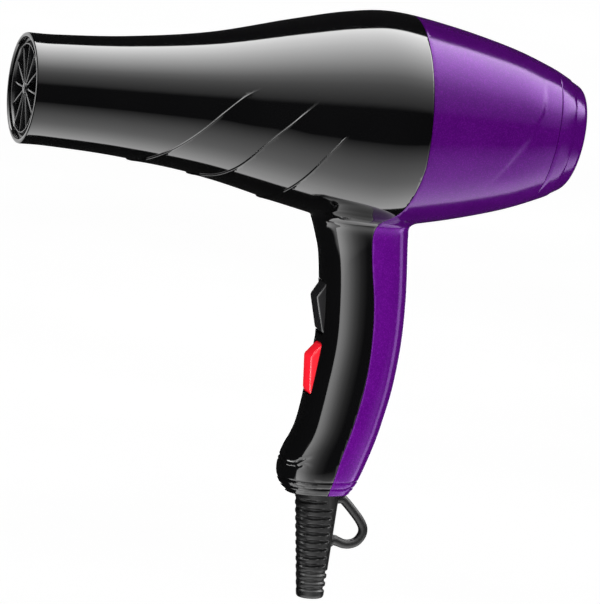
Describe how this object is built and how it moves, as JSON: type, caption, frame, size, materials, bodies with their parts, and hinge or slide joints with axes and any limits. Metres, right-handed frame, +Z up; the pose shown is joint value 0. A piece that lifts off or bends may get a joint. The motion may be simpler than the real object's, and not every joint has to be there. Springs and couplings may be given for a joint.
{
  "type": "hair dryer",
  "caption": "Hand-held hair dryer with a flared barrel, tapered tail cap, curved pistol handle with two rocker switches, and a ribbed rubber cord sleeve with a hanging loop.",
  "frame": {"origin": "centre of the air outlet's rim, on the barrel axis", "axes": "+X runs along the barrel from the outlet to the tail, so air leaves along -X; +Z is up; the handle points down along -Z; Y is across the body, which is symmetric about Y = 0 in its outer shape"},
  "size_m": [0.2455, 0.0914, 0.2534],
  "materials": {
    "gloss_black": "polished moulded plastic",
    "metallic_purple": "satin lacquer with fine metallic flake",
    "dark_mesh": "blackened fine wire mesh",
    "grille_black": "semi-gloss heat resistant plastic",
    "mica": "pressed mica sheet",
    "resistance_wire": "oxidised nickel chrome wire",
    "tinned_metal": "tinned sheet metal",
    "duct_plastic": "glass filled plastic",
    "soft_rubber": "matte moulded rubber",
    "motor_steel": "zinc plated steel",
    "ferrite": "sintered ferrite",
    "carbon": "pressed carbon",
    "bronze": "sintered bronze",
    "lamination": "varnished steel laminations",
    "copper": "enamelled copper",
    "white_plastic": "natural nylon",
    "rocker_black": "polished rocker",
    "rocker_red": "polished red rocker",
    "switch_plastic": "moulded switch body",
    "brass_terminal": "stamped brass",
    "board_green": "solder masked board",
    "capacitor_yellow": "boxed film capacitor",
    "wire_insulation": "silicone wire insulation",
    "screw_steel": "plated screw",
    "screw_black": "black oxide screw"
  },
  "bodies": {
    "root": {"front_shell": "gloss_black", "rear_shell": "metallic_purple", "outlet_grille": "grille_black", "heat_tube": "mica", "mica_board_upright": "mica", "mica_board_flat": "mica", "heating_coil": "resistance_wire", "thermostat": "tinned_metal", "thermal_fuse": "brass_terminal", "fan_duct": "duct_plastic", "motor_sleeve": "soft_rubber", "motor_can": "motor_steel", "motor_end_cap": "white_plastic", "motor_magnets": "ferrite", "motor_brushes": "carbon", "front_bearing": "bronze", "rear_bearing": "bronze", "motor_screws": "screw_steel", "upper_switch_body": "switch_plastic", "lower_switch_body": "switch_plastic", "switch_terminals": "brass_terminal", "rectifier_board": "board_green", "suppressor_capacitor": "capacitor_yellow", "wiring_loom": "wire_insulation", "cord_clamp": "switch_plastic", "clamp_screws": "screw_steel", "case_screws": "screw_black", "strain_relief": "soft_rubber"},
    "rotor": {"motor_shaft": "motor_steel", "armature": "lamination", "armature_windings": "copper", "commutator": "copper", "fan": "duct_plastic"},
    "upper_rocker": {"upper_rocker": "rocker_black"},
    "lower_rocker": {"lower_rocker": "rocker_red"},
    "tail_cap": {"rear_cap": "metallic_purple", "inlet_mesh": "dark_mesh"}
  },
  "joints": [
    {"name": "fan_spin", "type": "hinge", "parent": "root", "child": "rotor", "pos_m": [0.16, 0, 0], "axis": [1, 0, 0], "continuous": true},
    {"name": "upper_rocker_tilt", "type": "hinge", "parent": "root", "child": "upper_rocker", "pos_m": [0.1491, 0, -0.0818], "axis": [0, 1, 0], "range_deg": [0, 20]},
    {"name": "lower_rocker_tilt", "type": "hinge", "parent": "root", "child": "lower_rocker", "pos_m": [0.1488, 0, -0.1093], "axis": [0, 1, 0], "range_deg": [0, 20]},
    {"name": "tail_cap_pull", "type": "slide", "parent": "root", "child": "tail_cap", "axis": [1, 0, 0], "range_m": [0, 0.03]}
  ]
}
